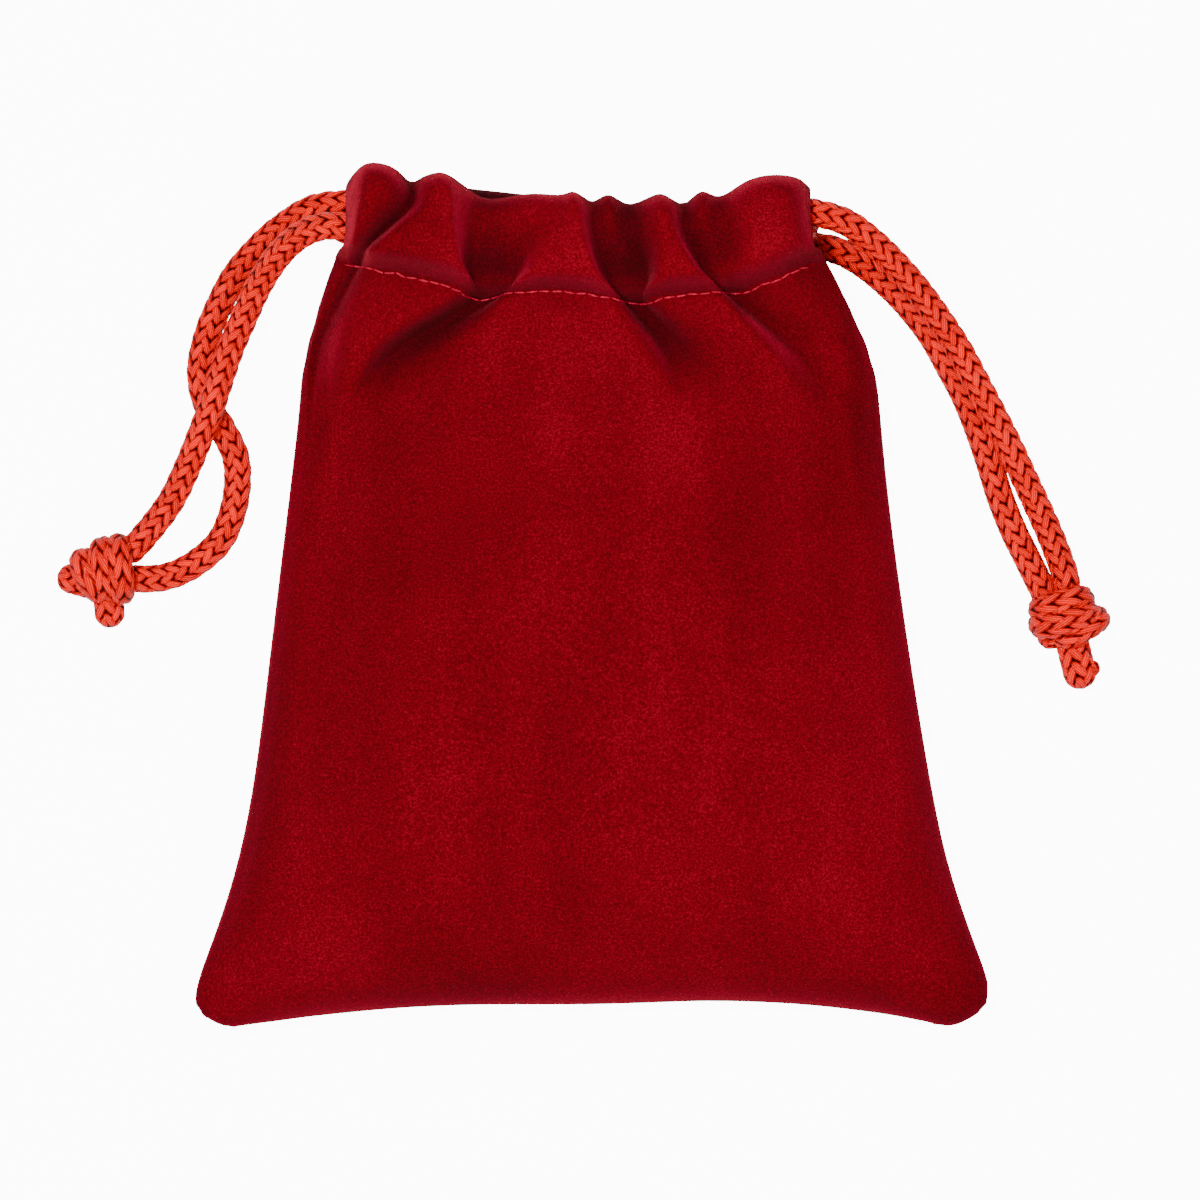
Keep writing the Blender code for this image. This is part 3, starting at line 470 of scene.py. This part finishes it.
def clothFrom(node, name, levels):
    source = nodes[node]
    mesh = source.data.copy()
    mesh.name = name
    thing = addObject(name, mesh, velvetMaterial)
    selectOnly(thing)
    if mesh.has_custom_normals:
        bpy.ops.mesh.customdata_custom_splitnormals_clear()
    bpy.ops.object.mode_set(mode="EDIT")
    bpy.ops.mesh.select_all(action="SELECT")
    bpy.ops.mesh.remove_doubles(threshold=0.00001)
    bpy.ops.mesh.mark_sharp(clear=True)
    bpy.ops.mesh.tris_convert_to_quads(face_threshold=math.radians(50), shape_threshold=math.radians(60))
    bpy.ops.object.mode_set(mode="OBJECT")
    rounder = thing.modifiers.new("Rounder", "SUBSURF")
    rounder.levels = levels
    rounder.render_levels = levels
    # rounding draws edges in, so the points are first pushed out by the evened amount that is lost
    wanted = np.array([v.co for v in mesh.vertices])
    links = np.array([tuple(edge.vertices) for edge in mesh.edges])
    links = np.vstack([links, links[:, ::-1]])
    beside = np.bincount(links[:, 0], minlength=len(wanted))[:, None] + 1.0
    pushed = wanted.copy()
    for _ in range(2):
        rounded = thing.evaluated_get(bpy.context.evaluated_depsgraph_get()).to_mesh()
        lost = wanted - np.array([v.co for v in rounded.vertices[:len(wanted)]])
        thing.evaluated_get(bpy.context.evaluated_depsgraph_get()).to_mesh_clear()
        for _ in range(2):
            total = lost.copy()
            np.add.at(total, links[:, 0], lost[links[:, 1]])
            lost = total / beside
        pushed += lost
        mesh.vertices.foreach_set("co", pushed.ravel())
        mesh.update()
        thing.update_tag()
        bpy.context.view_layer.update()
    bpy.ops.object.modifier_apply(modifier=rounder.name)
    for face in thing.data.polygons:
        face.use_smooth = True
    return thing


# measures in mm of the height map that the shading of the folds is read from
shading = {
    "cell": 0.5, "edge": 16, "hollowShade": 5.5, "crest": 1.1, "dipShade": 3.0, "dipShadeShare": 0.55, "band": 1.5,
    "casingFrom": 18, "casingFade": 12,
}


def markShadeAndHighlight(thing, outward):
    # how deep each point lies below the crests round it, which sets the painted shade in the hollows,
    # how far it stands out as a crest, which sets the painted highlight, and whether it lies in the band just
    # above the stitches
    cell = shading["cell"] * mm
    edge = shading["edge"] * mm
    places = np.array([v.co for v in thing.data.vertices])
    facing = np.array([v.normal for v in thing.data.vertices])
    low = places[:, :2].min(0) - edge
    size = np.ceil((places[:, :2].max(0) + edge - low) / cell).astype(int)
    cells = ((places[:, :2] - low) / cell).astype(int)
    height = places[:, 2] * outward
    top = np.full(size, -1.0)
    np.maximum.at(top, (cells[:, 0], cells[:, 1]), height)
    for _ in range(2):
        for axis in (0, 1):
            for shift in (-1, 1):
                beside = np.roll(top, shift, axis)
                top = np.where(top > -1.0, top, beside)

    def spread(field, reach):
        weight = (top > -1.0).astype(float)
        field = np.where(top > -1.0, field, 0.0)
        count = int(3 * reach / cell)
        bell = np.exp(-0.5 * (np.arange(-count, count + 1) * cell / reach) ** 2)
        for axis in (0, 1):
            field = np.apply_along_axis(np.convolve, axis, field, bell, "same")
            weight = np.apply_along_axis(np.convolve, axis, weight, bell, "same")
        return field / np.maximum(weight, 1e-6)

    # crests are looked for along X only, as the folds run up the pouch
    crown = top.copy()
    for shift in range(1, 15):
        crown = np.maximum(crown, np.maximum(np.roll(top, shift, 0), np.roll(top, -shift, 0)))
    crown = np.minimum.reduce([np.roll(crown, shift, 0) for shift in range(-14, 15, 2)])
    crown = spread(crown, 1.6 * mm)
    at = (cells[:, 0], cells[:, 1])
    deep = np.clip((crown[at] - height) / (shading["hollowShade"] * mm), 0, 1)
    dipShade = np.clip((spread(top, 5.0 * mm)[at] - spread(top, 1.2 * mm)[at]) / (shading["dipShade"] * mm), 0, 1)
    # painted shade in the soft dips between the folds is laid near the casing, not at the pouch's edges
    near = np.clip((places[:, 1] - shading["casingFrom"] * mm) / (shading["casingFade"] * mm), 0, 1)
    level = np.clip((facing[:, 2] * outward - 0.6) / 0.3, 0, 1)
    deep = np.maximum(deep, shading["dipShadeShare"] * dipShade * near * level)
    above = np.maximum.reduce([np.roll(top, -shift, 1) for shift in range(0, 13)])
    band = np.clip((above[at] - height) / (shading["band"] * mm), 0, 1) * near
    # the inner side of the cloth gets full painted shade and no painted highlight
    inside = facing[:, 2] * outward < -0.2
    deep = np.where(inside, 1.0, deep)
    # how far a point stands out above its surroundings, for the painted highlight on crests
    out = np.clip((spread(top, 0.6 * mm)[at] - spread(top, 2.4 * mm)[at]) / (shading["crest"] * mm), 0, 1)
    out = np.where(inside, 0.0, out)
    for title, values in (("hollowShade", deep), ("crest", out), ("band", band)):
        thing.data.attributes.new(title, "FLOAT", "POINT").data.foreach_set("value", values)


frontCloth = clothFrom("front_panel", "frontPanel", 2)
backCloth = clothFrom("back_panel", "backPanel", 2)
markShadeAndHighlight(frontCloth, 1)
markShadeAndHighlight(backCloth, -1)
for cloth, node in ((frontCloth, "front_panel"), (backCloth, "back_panel")):
    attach(cloth, "root")
    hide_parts(node)
print("cloth made:", len(frontCloth.data.polygons), len(backCloth.data.polygons))


# the casing stitches in mm, a run of separate stitches lying in the groove
stitching = {"long": 2.1, "thick": 0.40, "pitch": 2.25, "sink": 0.08, "step": 0.2, "inset": 0.6, "reach": 2.2}


def stitchLine(node, cloth, upper):
    # the line of the part's thread, dropped on to the cloth from outside
    points = np.array([v.co for v in nodes[node].data.vertices])
    points = points[np.argsort(points[:, 0])]
    inset = stitching["inset"] * mm
    xs = np.arange(points[:, 0].min() + inset, points[:, 0].max() - inset, stitching["step"] * mm)
    ys = np.array([points[abs(points[:, 0] - x) < stitching["reach"] * mm, 1].mean() for x in xs])
    tree = BVHTree.FromPolygons([v.co for v in cloth.data.vertices],
                                [tuple(f.vertices) for f in cloth.data.polygons])
    start, way = (0.06, Vector((0, 0, -1))) if upper else (-0.03, Vector((0, 0, 1)))
    line = []
    for x, y in zip(xs, ys):
        hit = tree.ray_cast(Vector((x, y, start)), way)[0]
        if hit is not None:
            line.append(hit)
    return np.array(line)


def makeStitches(name, node, cloth, upper):
    line = stitchLine(node, cloth, upper)
    bpy.ops.object.select_all(action="DESELECT")
    bpy.ops.mesh.primitive_uv_sphere_add(segments=12, ring_count=8, radius=0.5)
    model = bpy.context.object
    bpy.ops.object.mode_set(mode="EDIT")
    bpy.ops.mesh.select_all(action="SELECT")
    bpy.ops.transform.resize(value=(stitching["long"] * mm, stitching["thick"] * mm, stitching["thick"] * mm))
    bpy.ops.object.mode_set(mode="OBJECT")
    run = lineLength(line)
    outward = 1 if upper else -1
    made = []
    for place in np.arange(stitching["pitch"] * mm, run[-1] - stitching["pitch"] * mm, stitching["pitch"] * mm):
        half = stitching["long"] * mm * 0.45
        a = np.array([np.interp(place - half, run, line[:, k]) for k in range(3)])
        b = np.array([np.interp(place + half, run, line[:, k]) for k in range(3)])
        along = Vector(b - a).normalized()
        up = Vector((0, 0, outward))
        side = up.cross(along).normalized()
        up = along.cross(side)
        middle = Vector((a + b) / 2) + up * (stitching["thick"] * 0.5 - stitching["sink"]) * mm
        turn = Matrix((along, side, up)).transposed().to_4x4()
        turn.translation = middle
        copy = model.copy()
        copy.data = model.data.copy()
        scene.collection.objects.link(copy)
        copy.data.transform(turn)
        made.append(copy)
    bpy.data.objects.remove(model)
    bpy.ops.object.select_all(action="DESELECT")
    for copy in made:
        copy.select_set(True)
    bpy.context.view_layer.objects.active = made[0]
    bpy.ops.object.join()
    stitches = made[0]
    stitches.name = name
    stitches.data.name = name
    stitches.data.materials.clear()
    stitches.data.materials.append(threadMaterial)
    stitches.data.shade_smooth()
    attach(stitches, "root")
    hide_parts(node)
    return stitches


frontStitches = makeStitches("frontStitches", "front_casing_thread", frontCloth, True)
backStitches = makeStitches("backStitches", "back_casing_thread", backCloth, False)
print("stitches made")


# a pale floor and soft lights
bpy.ops.mesh.primitive_plane_add(size=6, location=(0, 0, 0))
floor = bpy.context.object
floor.name = "floor"
floorMaterial, floorTree, floorShader = newMaterial("paleFloor")
floorShader.inputs["Base Color"].default_value = (0.62, 0.62, 0.62, 1)
floorShader.inputs["Roughness"].default_value = 0.9
floorShader.inputs["Emission Color"].default_value = (1, 1, 1, 1)
seenDirectly = floorTree.nodes.new("ShaderNodeLightPath").outputs["Is Camera Ray"]
floorTree.links.new(addMath(floorTree, "MULTIPLY", seenDirectly, 11.0), floorShader.inputs["Emission Strength"])
floor.data.materials.append(floorMaterial)
floor.data.transform(Matrix.Translation((0, 0, -0.0003)))

world = bpy.data.worlds.new("studio")
scene.world = world
world.use_nodes = True
world.node_tree.nodes["Background"].inputs["Color"].default_value = (1, 1, 1, 1)
world.node_tree.nodes["Background"].inputs["Strength"].default_value = 0.30


def addLight(name, place, size, power):
    data = bpy.data.lights.new(name, "AREA")
    data.shape = "SQUARE"
    data.size = size
    data.energy = power
    lamp = bpy.data.objects.new(name, data)
    lamp.location = place
    lamp.rotation_euler = (Vector((0, 0, 0)) - Vector(place)).to_track_quat("-Z", "Y").to_euler()
    scene.collection.objects.link(lamp)


addLight("keyLight", (-0.22, 0.16, 1.18), 0.20, 26.0)
addLight("rightLight", (0.80, 0.15, 0.80), 0.40, 3.4)
addLight("lowerLight", (-0.1, -0.9, 0.9), 0.6, 10.5)
print("floor and lights made")
